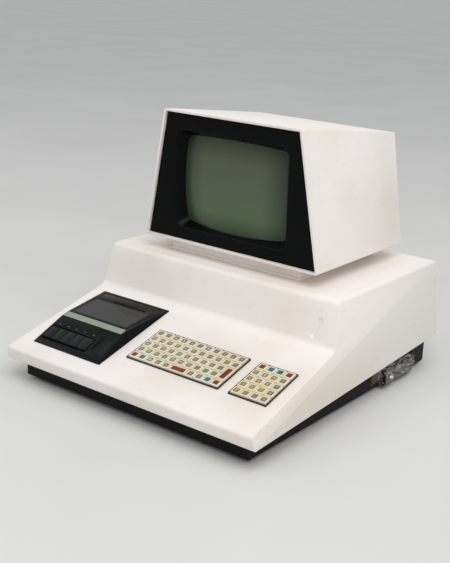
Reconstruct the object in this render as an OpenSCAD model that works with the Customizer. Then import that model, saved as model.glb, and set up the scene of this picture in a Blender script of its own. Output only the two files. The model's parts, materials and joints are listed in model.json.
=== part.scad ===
// All-in-one home computer of the late 1970s.
// A folded steel case hinges at the rear on a shallow tray. It carries a monitor on a
// plinth, a keyboard of small square keys with a number pad, and a cassette deck.
// Lengths are in millimetres. Z is up, X runs along the keyboard and the front faces -Y.
// The origin is on the floor, under the middle of the machine.

/* [Case] */
// Width of the case across its front lip
case_w = 419; // [414:1:424]
// Depth of the case from its lip to its rear wall
case_d = 457; // [456:1:460]
// Height of the flat top behind the deck
case_h = 161; // [158:1:164]
// Thickness of the folded sheet steel
sheet = 2; // [1.5:0.1:2.5]
// Height of the lip's lower edge
lip_z = 29; // [27:0.5:31]
// Height of the edge between the lip and the deck
lip_top_z = 47.5; // [46:0.5:49]
// Horizontal depth of the sloping deck
deck_run = 180; // [178:1:184]
// Height of the deck where the riser starts
deck_end_z = 98.7; // [97:0.1:100]
// How far each side panel leans inwards for each millimetre of height
side_lean = 0.12; // [0.08:0.01:0.14]
// Outside radius of the folds along the riser
fold_r = 9; // [6:0.5:11]

/* [Tray] */
// Width of the tray under the case
tray_w = 378; // [374:1:380]
// Height of the rubber feet
foot_h = 5; // [4:0.5:7]
// Thickness of the tray's steel
tray_t = 1.6; // [1.2:0.1:2]

/* [Monitor] */
// Height of the plinth
plinth_h = 19; // [16:0.5:24]
// Height of the monitor's front
monitor_h = 185; // [180:1:190]
// Width of the monitor along its lower edge
monitor_w = 295; // [288:1:300]
// Width of the monitor along its upper edge
monitor_top_w = 226; // [220:1:232]
// Distance from the case's lip to the monitor's lower front edge
monitor_y = 211; // [208:0.5:214]
// How far the roof falls towards the rear
roof_drop = 27; // [22:0.5:30]

/* [Screen] */
// Width of the opening in the fascia
screen_w = 176; // [170:1:180]
// Height of the opening in the fascia
screen_h = 136; // [130:1:140]
// Height of the opening's centre above the monitor's lower edge
screen_z = 89; // [86:0.5:92]

/* [Keyboard] */
// Distance between neighbouring keys
key_pitch = 13.5; // [13.2:0.1:13.6]
// Gap between two keys
key_gap = 0.6; // [0.4:0.1:1]
// How far a key goes down
key_travel = 2; // [1:0.1:2]
// How far the keys stand above the deck
key_top = 3.4; // [3:0.1:4.5]

/* [Cassette deck] */
// Width of the deck's moulding
tape_w = 123.5; // [122:0.5:124]
// Length of the moulding along the slope
tape_l = 143.4; // [142:0.2:144]
// Height of the ridge above the case
ridge_h = 12.5; // [12:0.5:14]
// Width of one piano key
piano_w = 16; // [15:0.1:16.2]

/* [Hidden] */
$fn = 48;

case_paint = "#ece5dc";
black_paint = "#1d1d1f";
black_plastic = "#161618";
key_cream = "#ebe2cb";
board_green = "#3f6b45";
bare_steel = "#b4b7b8";

knuckle_r = 2.5;
hinge_y = case_d + knuckle_r;
hinge_z = 50;
slope = atan2(deck_end_z - lip_top_z, deck_run);
monitor_z = case_h + plinth_h;
monitor_top = monitor_z + monitor_h;
monitor_fwd = 6;
face_lean = atan2(monitor_fwd, monitor_h);

// ---------------------------------------------------------------- outlines

function unit(v) = v / norm(v);
function xy(p) = [p[0], p[1]];
function near(path, i) = xy(path[(i + len(path)) % len(path)]);

// Arc that rounds corner q between its neighbours p and s
function corner(p, q, s, r, n) = r <= 0 ? [q] :
    let (a = unit(p - q), b = unit(s - q), half = acos(a * b) / 2)
    let (centre = q + unit(a + b) * r / sin(half), reach = r / tan(half))
    let (from = q + a * reach - centre, to = q + b * reach - centre)
    let (start = atan2(from.y, from.x))
    let (turn = (atan2(to.y, to.x) - start + 540) % 360 - 180)
    [for (i = [0:n]) centre + r * [cos(start + turn * i / n), sin(start + turn * i / n)]];

// Outline of [x, y, radius] corners, each rounded with its own radius
function rounded(path, n = 5) = [for (i = [0:len(path) - 1])
    each corner(near(path, i - 1), near(path, i), near(path, i + 1), path[i][2], n)];

// The same outline, moved inwards by t. The corners run anticlockwise.
function inset(path, t) = [for (i = [0:len(path) - 1])
    let (a = unit(near(path, i) - near(path, i - 1)), b = unit(near(path, i + 1) - near(path, i)))
    let (na = [-a.y, a.x], nb = [-b.y, b.x])
    let (q = near(path, i) + t * (na + nb) / (1 + na * nb), r = path[i][2])
    let (outward = a.x * b.y - a.y * b.x > 0)
    [q.x, q.y, r == 0 ? 0 : max(0, outward ? r - t : r + t)]];

// Rectangle with round corners, centred
function round_box(w, h, r) = rounded(
    [[-w / 2, -h / 2, r], [w / 2, -h / 2, r], [w / 2, h / 2, r], [-w / 2, h / 2, r]], 8);

// ---------------------------------------------------------------- places

// Moves lengths measured from the case's lip to the machine's own frame
module from_lip() translate([0, -middle_y, 0]) children();

// Extrudes a side outline of (y, z) points across the machine
module along_x(w) rotate([90, 0, 90]) translate([0, 0, -w / 2]) linear_extrude(w) children();

// Extrudes a front outline of (x, z) points towards the rear
module along_y(y, d) translate([0, y + d, 0]) rotate([90, 0, 0]) linear_extrude(d) children();

// Frame of the sloping deck: X across, Y up the slope from the lip, Z out of the deck
module deck_place() translate([0, 0, lip_top_z]) rotate([slope, 0, 0]) children();
module on_deck() from_lip() deck_place() children();

// Frame of the monitor's face: Z up the face, Y into the monitor
module on_face() from_lip() translate([0, monitor_y, monitor_z]) rotate([face_lean, 0, 0])
    children();

// ---------------------------------------------------------------- case

lip_tuck = 2.8;
case_side = [
    [lip_tuck, lip_z, 3], [case_d, hinge_z + 1, 0], [case_d, case_h, 5],
    [deck_run + 14.5, case_h, fold_r], [deck_run, deck_end_z, fold_r + 2], [0, lip_top_z, 5]
];
// Lengths along Y are measured from the sharp corner of the lip. The middle of the machine
// lies halfway between the rounded nose of the lip and the rear hinge's knuckles.
lip_nose = min([for (p = rounded(case_side)) p.x]);
middle_y = (lip_nose + hinge_y + knuckle_r) / 2;
function case_half(z) = case_w / 2 - side_lean * (z - lip_z);
case_front = [
    [-case_half(0), 0, 0], [case_half(0), 0, 0],
    [case_half(case_h), case_h, 4], [-case_half(case_h), case_h, 4]
];
flange_x = tray_w / 2 + 1.5;
flange_y = 17.5;

module case_form(t) intersection() {
    along_x(case_w + 20) polygon(rounded(inset(case_side, t)));
    along_y(-5, case_d + 10) polygon(rounded(inset(case_front, t)));
}

module upper_case() color(case_paint) from_lip() {
    case_shell();
    prop_catch();
}

module case_shell() difference() {
    case_form(0);
    case_form(sheet);
    // open underside, inside the return flange
    along_x(2 * flange_x) polygon([
        [flange_y, 0], [case_d - sheet, 0], [case_d - sheet, hinge_z + 7], [flange_y, lip_z + 7]
    ]);
    deck_place() {
        cut_out(main_x, main_v, 11);
        cut_out(number_x, number_v, 4);
        translate([tape_x + tape_lap, tape_v + tape_lap, -10])
            cube([tape_w - 2 * tape_lap, tape_l - 2 * tape_lap, 20]);
    }
    // cable hole under the plinth
    translate([-45, 290, case_h - 10]) cube([90, 70, 20]);
}

module cut_out(x, v, columns) {
    gap = 0.25;
    translate([x - gap, v - gap, -10])
        cube([frame_size(columns) + 2 * gap, frame_size(5) + 2 * gap, 20]);
}

// ---------------------------------------------------------------- tray and what it holds

tray_y = 19;
tray_wall_z = 49;
inner_x = tray_w / 2 - tray_t;
floor_z = foot_h + tray_t;
rear_ports = [[128, 64], [44, 64], [-30, 36]];
side_port = [300, 410];
port_z = [11, 29];

module base_tray() color(black_paint) from_lip() {
    tray_shell();
    prop_lug();
}

module tray_shell() difference() {
    along_x(tray_w) polygon(rounded([
        [tray_y, foot_h, 3], [case_d, foot_h, 3], [case_d, 57, 0], [tray_y, 36, 0]
    ]));
    along_x(2 * inner_x) polygon([
        [tray_y + tray_t, floor_z], [case_d - tray_t, floor_z],
        [case_d - tray_t, 90], [tray_y + tray_t, 90]
    ]);
    translate([-tray_w, case_d - 4, tray_wall_z]) cube([2 * tray_w, 10, 40]);
    // expansion port in the right-hand side
    translate([inner_x - 5, side_port[0], port_z[0]])
        cube([10, side_port[1] - side_port[0], 60]);
    // connector ports in the rear wall
    for (port = rear_ports)
        translate([port[0] - port[1] / 2, case_d - 5, port_z[0]])
            cube([port[1], 10, port_z[1] - port_z[0]]);
    for (hole = [[gland_x, 7.2], [fuse_x, 5.7]]) wall_hole(hole[0], hole[1]);
    translate([switch_x - 10.2, case_d - 5, rear_row_z - 6.7]) cube([20.4, 10, 13.4]);
    // cooling slots under the power supply and the board
    for (x = [-150, 60], i = [0:8])
        translate([x, 240 + 16 * i, foot_h - 1]) cube([46, 5, 4]);
}

module wall_hole(x, r) translate([x, case_d + 5, rear_row_z]) rotate([90, 0, 0])
    cylinder(r = r, h = 12);

foot_x = 165;
foot_rows = [52, 424];

module feet() color("#121212") from_lip()
    for (x = [-foot_x, foot_x], y = foot_rows)
        translate([x, y, 0]) difference() {
            cylinder(r1 = 9, r2 = 10.5, h = foot_h);
            translate([0, 0, -1]) cylinder(r = 3.5, h = 3);
        }

board_x = [-85, 181];
board_y = [172, 448];
board_z = 15;
board_t = 1.6;

module main_board() color(board_green) from_lip() difference() {
    union() {
        translate([board_x[0], board_y[0], board_z])
            cube([board_x[1] - board_x[0], board_y[1] - board_y[0], board_t]);
        // edge fingers that face the ports
        for (port = rear_ports)
            translate([port[0] - port[1] / 2 + 4, board_y[1] - 1, board_z])
                cube([port[1] - 8, 5, board_t]);
        translate([board_x[1] - 1, side_port[0] + 6, board_z])
            cube([5, side_port[1] - side_port[0] - 12, board_t]);
        // stand-off pillars
        for (x = [board_x[0] + 8, 48, board_x[1] - 8], y = [board_y[0] + 8, board_y[1] - 12])
            translate([x, y, floor_z]) cylinder(r = 3.5, h = board_z - floor_z + 0.5);
    }
    for (x = [board_x[0] + 8, 48, board_x[1] - 8], y = [board_y[0] + 8, board_y[1] - 12])
        translate([x, y, floor_z - 1]) cylinder(r = 1.5, h = 12);
}

module logic_chips() color("#2a2a2c") from_lip() {
    // one row of long packages, then four rows of memory
    for (i = [0:3])
        translate([-52 + 58 * i, 362, board_z + board_t]) chip(50, 14);
    for (row = [0:3], i = [0:7])
        translate([-50 + 27 * i, 212 + 30 * row, board_z + board_t]) chip(20, 7);
}

// A package stands on its two rows of legs
module chip(l, w) {
    translate([0, 0, 1]) cube([l, w, 3.6]);
    for (y = [-0.6, w]) translate([1, y, 0]) cube([l - 2, 0.6, 2.8]);
}

module mains_transformer() color("#7c6a55") from_lip() translate([-130, 390, floor_z]) {
    difference() {
        translate([-34, -17, 4]) cube([68, 34, 56]);
        for (x = [-19, 8]) translate([x, -18, 14]) cube([11, 36, 36]);
    }
    // winding round the middle limb
    difference() {
        translate([-18.5, -27, 15]) cube([37, 54, 34]);
        translate([-8.2, -17.2, 10]) cube([16.4, 34.4, 44]);
    }
    // mounting foot
    translate([-40, -17, 0]) cube([80, 34, 4]);
}

module smoothing_capacitor() color("#5d7d94") from_lip()
    translate([-132, 235, floor_z + 19]) rotate([-90, 0, 0]) {
        cylinder(r = 18, h = 88);
        translate([0, 0, 88]) cylinder(r = 16.5, h = 2);
        for (x = [-7, 7]) translate([x, 0, 90]) cylinder(r = 2.5, h = 6);
        // strap and its foot on the floor
        for (z = [16, 60]) difference() {
            union() {
                translate([0, 0, z]) cylinder(r = 19, h = 10);
                translate([-24, 14, z]) cube([48, 5, 10]);
            }
            translate([0, 0, z - 1]) cylinder(r = 17.9, h = 12);
        }
    }

module regulator_heatsink() color(bare_steel) from_lip()
    translate([-78, 186, board_z + board_t]) {
        cube([60, 3, 26]);
        for (i = [0:9]) translate([i * 6.4, 0, 0]) cube([2, 17, 26]);
    }

rear_row_z = 27;
gland_x = -158;
fuse_x = -128;
switch_x = -96;

// Turns something drawn standing up so that it points out of the rear wall
module on_rear(x, z) from_lip() translate([x, case_d, z]) rotate([-90, 0, 0]) children();

module fuse_holder() color(black_plastic) on_rear(fuse_x, rear_row_z) {
    translate([0, 0, -26]) cylinder(r = 5.5, h = 27);
    cylinder(r = 8, h = 1.6);
    difference() {
        cylinder(r = 6.3, h = 4.6);
        translate([-5, -0.6, 3.6]) cube([10, 1.2, 2]);
    }
}

module mains_gland() color(black_plastic) on_rear(gland_x, rear_row_z) difference() {
    union() {
        translate([0, 0, -12]) cylinder(r = 7, h = 13);
        translate([0, 0, -4.8]) cylinder(r = 10.5, h = 3.2, $fn = 6);
        cylinder(r = 9.5, h = 1.8);
        cylinder(r1 = 8, r2 = 6.2, h = 4.8);
    }
    translate([0, 0, -13]) cylinder(r = 3.6, h = 20);
}

rocker_pivot = case_d - 1;

module power_switch_body() color(black_plastic) from_lip() difference() {
    union() {
        translate([switch_x - 13, case_d, rear_row_z - 9.5]) cube([26, 1.8, 19]);
        translate([switch_x - 10, case_d - 20, rear_row_z - 6.5]) cube([20, 21, 13]);
        for (x = [-5, 5])
            translate([switch_x + x - 0.4, case_d - 29, rear_row_z - 3]) cube([0.8, 10, 6]);
    }
    translate([switch_x - 8, case_d - 9, rear_row_z - 5.6]) cube([16, 12, 11.2]);
}

rocker_tilt = 9;

module power_rocker() color("#2b2b2d") from_lip()
    translate([switch_x, rocker_pivot, rear_row_z]) rotate([rocker_tilt, 0, 0]) {
        along_x(15.4) polygon(rounded([
            [-4, -3, 1], [0.5, -4.9, 0.5], [3.4, -4.6, 0.6], [2.2, 0, 0], [3.4, 4.6, 0.6],
            [0.5, 4.9, 0.5], [-4, 3, 1]
        ], 3));
    }

// ---------------------------------------------------------------- rear hinges

hinge_xs = [-128, 128];
hinge_l = 60;
leaf_t = 1.2;
pin_r = 1.2;

// One of five knuckles, counted from the left
module knuckle(i) translate([-hinge_l / 2 + i * hinge_l / 5 + 0.15, hinge_y, hinge_z])
    rotate([0, 90, 0]) cylinder(r = knuckle_r, h = hinge_l / 5 - 0.3);

// Web that joins a knuckle to its leaf, between two heights
module knuckle_web(i, z0, z1)
    translate([-hinge_l / 2 + i * hinge_l / 5 + 0.15, case_d, z0])
        cube([hinge_l / 5 - 0.3, leaf_t, z1 - z0]);

module base_hinge_leaves() color(bare_steel) from_lip() for (x = hinge_xs) translate([x, 0, 0]) {
    translate([-hinge_l / 2, case_d, 37.5]) cube([hinge_l, leaf_t, 8.5]);
    for (i = [0, 2, 4]) {
        knuckle(i);
        knuckle_web(i, 45, hinge_z);
    }
    translate([-hinge_l / 2, hinge_y, hinge_z]) rotate([0, 90, 0])
        cylinder(r = pin_r, h = hinge_l);
    for (i = [-20, 0, 20]) leaf_screw(i, 41.5);
}

module lid_hinge_leaves() color(bare_steel) from_lip() for (x = hinge_xs) translate([x, 0, 0]) {
    translate([-hinge_l / 2, case_d, 54]) cube([hinge_l, leaf_t, 16]);
    difference() {
        for (i = [1, 3]) {
            knuckle(i);
            knuckle_web(i, hinge_z, 55);
        }
        translate([-hinge_l, hinge_y, hinge_z]) rotate([0, 90, 0])
            cylinder(r = pin_r + 0.08, h = 2 * hinge_l);
    }
    for (i = [-20, 0, 20]) leaf_screw(i, 62);
}

// Round-headed screw, seated on its leaf
module leaf_screw(x, z) translate([x, case_d + leaf_t, z]) rotate([-90, 0, 0])
    cylinder(r1 = 2.6, r2 = 1.8, h = 1.2);

// ---------------------------------------------------------------- prop and wrap

prop_x = -180.5;
prop_y = 330;
prop_z = 24;
prop_r = 2.5;
lid_open = 45;
// where the rod's tip meets the catch, in the closed lid's place
catch_at = [200, 52];
// the same point with the lid open, seen from the rod's pivot
catch_open = [hinge_y - prop_y, hinge_z - prop_z] + [
    (catch_at.x - hinge_y) * cos(lid_open) + (catch_at.y - hinge_z) * sin(lid_open),
    (hinge_y - catch_at.x) * sin(lid_open) + (catch_at.y - hinge_z) * cos(lid_open)];
prop_l = norm(catch_open) - prop_r;

module prop_rod() color(bare_steel) from_lip() translate([prop_x, prop_y, prop_z]) {
    // eye, shank and hooked tip
    difference() {
        translate([-3, 0, 0]) rotate([0, 90, 0]) cylinder(r = 6, h = 6);
        translate([-4, 0, 0]) rotate([0, 90, 0]) cylinder(r = 2.1, h = 8);
    }
    translate([0, -4.5, 0]) rotate([90, 0, 0]) cylinder(r = prop_r, h = prop_l - 4.5);
    translate([0, -prop_l, 0]) sphere(r = prop_r);
}

// Bracket inside the case that the raised rod bears on; it belongs to the case
module prop_catch() {
    side_x = -case_half(catch_at.y) + 1;
    bottom = catch_at.y + prop_r + 0.4;
    translate([side_x, catch_at.x - 8, bottom]) cube([prop_x + 4 - side_x, 16, sheet]);
    along_y(catch_at.x - 1, sheet) polygon([
        [side_x, bottom + 1], [prop_x, bottom + 1], [side_x + 2, bottom + 26]
    ]);
}

// Lug with the rod's pivot pin, and the saddle that the rod lies in; both belong to the tray
module prop_lug() translate([prop_x, prop_y, 0]) {
    translate([3.6, -7, floor_z - 0.5]) cube([2, 14, prop_z + 7 - floor_z]);
    translate([-6.9, 0, prop_z]) rotate([0, 90, 0]) cylinder(r = 2, h = 11);
    translate([-5, 30 - prop_l, floor_z - 0.5]) difference() {
        cube([10, 5, prop_z + 2 - floor_z]);
        translate([5 - prop_r - 0.5, -1, prop_z - floor_z - prop_r]) cube([2 * prop_r + 1, 7, 9]);
    }
}

wrap_y = [322, 409];
tape_y = [302, 320.5];

// Crumpled foil round the expansion connector, as the space that it fills, and a wad of
// paper tape beside it. Both rest on the lower edge of the port.
module port_wrap() color("#8d8b89") from_lip() {
    translate([0, wrap_y[0], 0]) rotate([90, 0, 180]) mirror([1, 0, 0])
        linear_extrude(wrap_y[1] - wrap_y[0]) polygon(rounded([
            [187.3, port_z[0], 0], [189.3, port_z[0], 0], [191, 6.5, 2], [199, 5, 4], [203, 12, 5],
            [202, 30, 6], [194, 38, 5], [187.3, 36, 1]
        ], 3));
    translate([0, tape_y[0], 0]) rotate([90, 0, 180]) mirror([1, 0, 0])
        linear_extrude(tape_y[1] - tape_y[0]) polygon(rounded([
            [187.3, port_z[0], 0], [189.3, port_z[0], 0], [191.5, 15, 1], [192, 26, 2],
            [190.6, 32, 1], [187.3, 32, 1]
        ], 3));
}

// ---------------------------------------------------------------- monitor

monitor_rear = 434;
rear_back = 5; // how much further back the rear's top edge is
roof_slope = roof_drop / (monitor_rear + rear_back - monitor_y + monitor_fwd);
monitor_lean = (monitor_w - monitor_top_w) / 2 / monitor_h;
plinth_half = 112;

function roof_z(y) = monitor_top - roof_slope * (y - monitor_y + monitor_fwd);

// Side outline in (y, z); only roof and floor move in by t
function monitor_side(t, front, rear) = [
    [monitor_y + front, monitor_z + t], [monitor_rear + rear, monitor_z + t],
    [monitor_rear + rear_back + rear, roof_z(monitor_rear + rear_back + rear) - t],
    [monitor_y - monitor_fwd + front, roof_z(monitor_y - monitor_fwd + front) - t]
];
monitor_front = [
    [-monitor_w / 2, monitor_z, 3], [monitor_w / 2, monitor_z, 3],
    [monitor_top_w / 2, monitor_top, 4], [-monitor_top_w / 2, monitor_top, 4]
];

module monitor_form(t, front = 0, rear = 0) intersection() {
    along_x(monitor_w + 20) polygon(monitor_side(t, front, rear));
    along_y(150, 350) polygon(rounded(inset(monitor_front, t)));
}

module monitor_housing() color(case_paint) from_lip() difference() {
    monitor_form(0);
    // the front rim is a hem twice as thick as the sheet
    monitor_form(3.3, -20, 20);
    monitor_form(sheet, 7, 20);
    translate([-45, 290, monitor_z - 5]) cube([90, 70, 12]);
}

// Slab parallel to the rear, from one depth to another, inside walls of thickness t
module rear_slab(t, from, to) intersection() {
    along_x(monitor_w + 20) polygon([
        for (y = [from, to]) [monitor_rear + y, monitor_z],
        for (y = [to, from]) [monitor_rear + y + rear_back, monitor_top - roof_drop]
    ]);
    monitor_form(t, -20, 20);
}

cover_in = 2;
rear_lean = atan2(rear_back, monitor_h - roof_drop);

module monitor_rear_cover() color(case_paint) from_lip() difference() {
    rear_slab(sheet + 0.3, -cover_in - 12, -cover_in);
    // all but the turned edge is as thin as the sheet
    rear_slab(sheet + 2, -cover_in - 20, -cover_in - 1.6);
    // rows of cooling slots
    for (i = [0:11], x = [-76, -22, 32])
        translate([x, monitor_rear - 12, monitor_z + 46 + 8.5 * i]) cube([44, 30, 3.6]);
    // bush of the brightness control
    translate([knob_x, monitor_rear - 30, knob_z]) rotate([-90, 0, 0]) cylinder(r = 3.3, h = 50);
}

module cover_screws() color(bare_steel) from_lip()
    for (p = [[-128, 12], [128, 12], [-104, 140], [104, 140]])
        translate([p[0], monitor_rear - cover_in + p[1] * tan(rear_lean), monitor_z + p[1]])
            rotate([-90 - rear_lean, 0, 0]) cylinder(r1 = 3.4, r2 = 2.4, h = 1.8);

knob_x = 96;
knob_z = monitor_z + 22;

module brightness_knob() color(black_plastic) from_lip()
    translate([knob_x, monitor_rear - 1, knob_z]) rotate([-90, 0, 0]) difference() {
        union() {
            cylinder(r = 8, h = 9);
            translate([0, 0, -9]) cylinder(r = 3, h = 10);
            for (a = [0:30:330]) rotate([0, 0, a]) translate([7.9, 0, 1]) cylinder(r = 0.7, h = 7);
        }
        translate([-0.6, 1, 8.2]) cube([1.2, 6, 2]);
    }

module monitor_plinth() color(case_paint) from_lip() difference() {
    union() {
        translate([-plinth_half + 1.5, 229.5, case_h]) cube([2 * plinth_half - 3, 188, plinth_h]);
        // flange strip that is screwed to the case
        translate([-plinth_half, 227, case_h]) cube([2 * plinth_half, 193, 4]);
    }
    translate([-plinth_half + 3.5, 231.5, case_h + sheet])
        cube([2 * plinth_half - 7, 184, plinth_h]);
    translate([-45, 290, case_h - 5]) cube([90, 70, 12]);
}

// ---------------------------------------------------------------- screen

bezel_gap = 3.6;
bezel_back = 1.6;
ring_w = 8;
glass_y = 17;
glass_w = 168;
glass_h = 120;

// Loft between two round rectangles on the face, from one depth to another
module screen_loft(w0, h0, r0, y0, w1, h1, r1, y1) hull() {
    screen_slab(w0, h0, r0, y0);
    screen_slab(w1, h1, r1, y1 - 0.1);
}

module screen_slab(w, h, r, y, d = 0.1) translate([0, y, screen_z]) rotate([-90, 0, 0])
    linear_extrude(d) polygon(round_box(w, h, r));

module screen_bezel() color(black_plastic) on_face() difference() {
    union() {
        // fascia plate
        translate([0, bezel_back + 3, 0]) rotate([90, 0, 0]) linear_extrude(3)
            polygon(rounded(inset([
                [-monitor_w / 2, 0, 3], [monitor_w / 2, 0, 3],
                [monitor_top_w / 2, monitor_h - 0.8, 4], [-monitor_top_w / 2, monitor_h - 0.8, 4]
            ], bezel_gap)));
        // raised ring and the throat behind it
        screen_slab(screen_w + 2 * ring_w, screen_h + 2 * ring_w, 28, -0.4, 3);
        screen_slab(screen_w + ring_w, screen_h + ring_w, 24, -1.6, 4);
        screen_loft(screen_w + 5, screen_h + 5, 22, 3, glass_w + 5, glass_h + 5, 18, glass_y);
    }
    screen_slab(screen_w, screen_h, 20, -3, 6);
    screen_loft(screen_w - 1, screen_h - 1, 19, 2.5, glass_w, glass_h, 16, glass_y + 1);
}

tube_w = 190;
tube_h = 144;
tube_crown = 380;
neck_r = 14.3;
funnel_end = 104;
neck_start = 124;
neck_end = 182;

module picture_tube() color("#5f6b58") on_face() translate([0, glass_y + 0.4, 0]) {
    // crowned face plate
    intersection() {
        screen_slab(tube_w, tube_h, 22, 0, 24);
        translate([0, tube_crown, screen_z]) sphere(r = tube_crown, $fn = 96);
    }
    hull() {
        screen_slab(tube_w, tube_h, 22, 23.9, 8);
        translate([0, funnel_end, screen_z]) rotate([-90, 0, 0]) cylinder(r = 32, h = 0.5);
    }
    translate([0, funnel_end + 0.4, screen_z]) rotate([-90, 0, 0]) {
        cylinder(r1 = 32, r2 = neck_r, h = neck_start - funnel_end);
        translate([0, 0, neck_start - funnel_end]) cylinder(r = neck_r, h = neck_end - neck_start);
    }
}

// Places something that goes round the tube's neck, at a depth behind the glass
module on_neck(y) on_face() translate([0, glass_y + y, screen_z]) rotate([-90, 0, 0]) children();

module deflection_yoke() color("#a8683a") on_neck(126) rotate_extrude() polygon(rounded([
    [neck_r + 0.5, 0, 0], [neck_r + 30, 0, 4], [neck_r + 26, 9, 5], [neck_r + 17, 22, 4],
    [neck_r + 19, 34, 3], [neck_r + 0.5, 34, 0]
]));

module tube_neck_board() color(board_green) on_neck(neck_end + 1) {
    cylinder(r = 15, h = 9);
    translate([-30, -26, 9]) cube([60, 56, 1.6]);
}

module monitor_board() color(board_green) from_lip() {
    translate([-112, 258, monitor_z + sheet + 8]) cube([1.6, 140, 78]);
    // two feet on the housing's floor
    for (y = [262, 384])
        translate([-114, y, monitor_z + sheet]) cube([12, 8, 10]);
    // radial capacitors and a heat sink on the board
    for (i = [0:4])
        translate([-110.6, 276 + 22 * i, monitor_z + 32 + 7 * (i % 3)]) rotate([0, 90, 0])
            cylinder(r = 5, h = 14);
    for (i = [0:5]) translate([-110.6, 270 + 5 * i, monitor_z + 60]) cube([13, 1.4, 24]);
}

module flyback_transformer() color("#8c2f26") from_lip() translate([84, 372, monitor_z + sheet]) {
    cube([40, 34, 3]);
    translate([20, 17, 3]) cylinder(r = 15, h = 30);
    translate([20, 17, 33]) cylinder(r = 10, h = 5);
    translate([1, 12, 3]) cube([4.5, 10, 38]);
    translate([1, 12, 38.5]) cube([38, 10, 5]);
    translate([34.5, 12, 3]) cube([4.5, 10, 38]);
}

// ---------------------------------------------------------------- keyboard

rim = 1.25;
main_x = -36.3;
main_v = 55.3;
number_x = 131;
number_v = 54.7;
key_low = -0.6;
key_taper = 0.55;
inlay_edge = 3;
stem = 4;
stem_low = -5.2;
frame_top = 2.1;
frame_floor = [-4.6, -3];

function frame_size(keys) = keys * key_pitch + 2 * rim;

// Key that is u pitches wide and d pitches deep, on its stems, with its corner at the origin
module key(u = 1, d = 1) {
    w = u * key_pitch - key_gap;
    l = d * key_pitch - key_gap;
    translate([u * key_pitch / 2, d * key_pitch / 2, 0]) difference() {
        intersection() {
            along_x(w + 1) polygon([
                [-l / 2, key_low], [l / 2, key_low],
                [l / 2 - key_taper, key_top], [key_taper - l / 2, key_top]
            ]);
            along_y(-l, 2 * l) polygon([
                [-w / 2, key_low], [w / 2, key_low],
                [w / 2 - key_taper, key_top], [key_taper - w / 2, key_top]
            ]);
        }
        // shallow seat of the coloured legend plate
        translate([inlay_edge - w / 2, inlay_edge - l / 2, key_top - 0.15])
            cube([w - 2 * inlay_edge, l - 2 * inlay_edge, 1]);
    }
    for (i = [0:u - 1], j = [0:d - 1])
        translate([(i + 0.5) * key_pitch - stem / 2, (j + 0.5) * key_pitch - stem / 2, stem_low])
            cube([stem, stem, key_low - stem_low + 0.2]);
}

// Puts a key at a column and a row of a block of keys
module main_key(column, row) color(key_cream) on_deck()
    translate([main_x + rim + column * key_pitch, main_v + rim + row * key_pitch, 0]) children();
module number_key(column, row) color(key_cream) on_deck()
    translate([number_x + rim + column * key_pitch, number_v + rim + row * key_pitch, 0])
        children();

module letter_row(row, columns) for (i = columns) main_key(i, row) key();
module letter_row_1() letter_row(0, [0, 1, 2, 3, 4, 7, 8, 9, 10]);
module letter_row_2() letter_row(1, [0:9]);
module letter_row_3() letter_row(2, [0:9]);
module letter_row_4() letter_row(3, [0:10]);
module letter_row_5() letter_row(4, [0:10]);
module space_key() main_key(5, 0) key(2, 1);
module return_key() main_key(10, 1) key(1, 2);

module number_row(row) for (i = [0:3]) number_key(i, row) key();
module number_row_1() number_row(0);
module number_row_2() number_row(1);
module number_row_3() number_row(2);
module number_row_4() number_row(3);
module number_row_5() number_row(4);

// Frame with a floor that guides the stems and a flange that bears on the deck from below
module key_frame(x, v, columns) color("#2c211b") on_deck() translate([x, v, 0]) difference() {
    flange = 5;
    w = frame_size(columns);
    l = frame_size(5);
    union() {
        translate([0, 0, frame_floor[0]]) cube([w, l, frame_top - frame_floor[0]]);
        translate([-flange, -flange, frame_floor[0]])
            cube([w + 2 * flange, l + 2 * flange, -sheet - frame_floor[0]]);
    }
    translate([1, 1, frame_floor[1]]) cube([w - 2, l - 2, 10]);
    for (i = [0:columns - 1], j = [0:4])
        translate([rim + (i + 0.5) * key_pitch - stem / 2 - 0.2,
                rim + (j + 0.5) * key_pitch - stem / 2 - 0.2, -10])
            cube([stem + 0.4, stem + 0.4, 20]);
}

module main_key_frame() key_frame(main_x, main_v, 11);
module number_key_frame() key_frame(number_x, number_v, 4);

module keyboard_board() color(board_green) on_deck() {
    top = stem_low - key_travel - 0.2;
    translate([main_x - 4, number_v - 4, top - 1.6]) cube([232, 78, 1.6]);
    // spacers that hold the board to the frames
    for (p = [[main_x - 1.5, 60], [main_x - 1.5, 118], [120, 60], [120, 118], [185, 60], [185, 118]])
        if (p[0] < 100 || p[0] > 150)
            translate([p[0], p[1] + 2, top - 0.1]) cylinder(r = 2, h = frame_floor[0] - top + 0.1);
}

// ---------------------------------------------------------------- cassette deck

tape_x = -181.5;
tape_v = 25.4;
tape_lap = 2;
tape_wall = 2.2;
ridge_v = [79, 91];
side_taper = 5;
lip_h = 1.6;
skirt_low = -7;
tape_mid = tape_x + tape_w / 2;
tape_rear = tape_v + tape_l;
door_slope = atan2(ridge_h - lip_h, tape_rear - ridge_v[1]);

tape_side = [
    [tape_v, 0, 0], [tape_rear, 0, 0], [tape_rear, lip_h, 0.6], [ridge_v[1], ridge_h, 1.5],
    [ridge_v[0], ridge_h, 1.5], [tape_v + 5, 2.6, 1], [tape_v, lip_h, 0.6]
];

// Tent-shaped form of the moulding above the case, moved in by t
module tape_form(t) intersection() {
    translate([tape_mid, 0, 0]) along_x(tape_w + 4) polygon(rounded(
        [for (p = inset(tape_side, t)) p[1] < 0.1 + t ? [p[0], -t, p[2]] : p], 3));
    along_y(0, 200) polygon([
        [tape_x + t, -t], [tape_x + tape_w - t, -t],
        [tape_x + tape_w - side_taper - t, ridge_h + 1], [tape_x + side_taper + t, ridge_h + 1]
    ]);
}

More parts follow.
